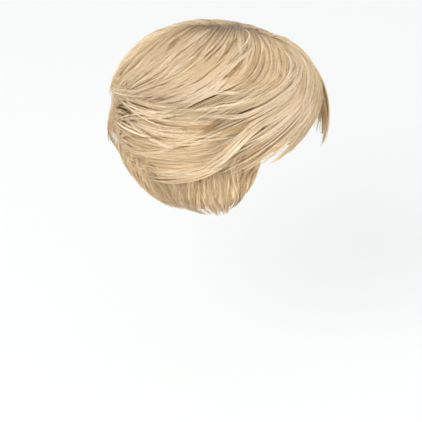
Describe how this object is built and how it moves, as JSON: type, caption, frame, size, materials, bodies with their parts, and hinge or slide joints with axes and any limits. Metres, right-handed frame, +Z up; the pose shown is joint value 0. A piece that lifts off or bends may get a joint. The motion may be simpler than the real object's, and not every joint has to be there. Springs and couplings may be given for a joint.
{
  "type": "hair topper wig",
  "caption": "Short layered wig with a side part: rows of hair locks on a thin cap that fits over a head, open below and at the face.",
  "frame": {"origin": "the point inside the cap that rests on the crown of the head, where the wig is held", "axes": "+Z up out of the crown; the wearer looks along -Y; +X is the wearer's left"},
  "size_m": [0.2194, 0.2461, 0.2093],
  "materials": {
    "cap": "woven cap net",
    "nape_hair": "soft satin hair",
    "back_hair": "soft satin hair",
    "side_hair_right": "soft satin hair",
    "side_hair_left": "soft satin hair",
    "middle_hair_right": "soft satin hair",
    "middle_hair_left": "soft satin hair",
    "middle_hair_back": "soft satin hair",
    "top_hair_right": "soft satin hair",
    "top_hair_left": "soft satin hair",
    "fringe": "soft satin hair",
    "fringe_left": "soft satin hair"
  },
  "bodies": {
    "root": {"cap": "cap", "nape_hair": "nape_hair", "back_hair": "back_hair", "side_hair_right": "side_hair_right", "side_hair_left": "side_hair_left", "middle_hair_right": "middle_hair_right", "middle_hair_left": "middle_hair_left", "middle_hair_back": "middle_hair_back", "top_hair_right": "top_hair_right", "top_hair_left": "top_hair_left", "fringe": "fringe", "fringe_left": "fringe_left"}
  },
  "joints": []
}
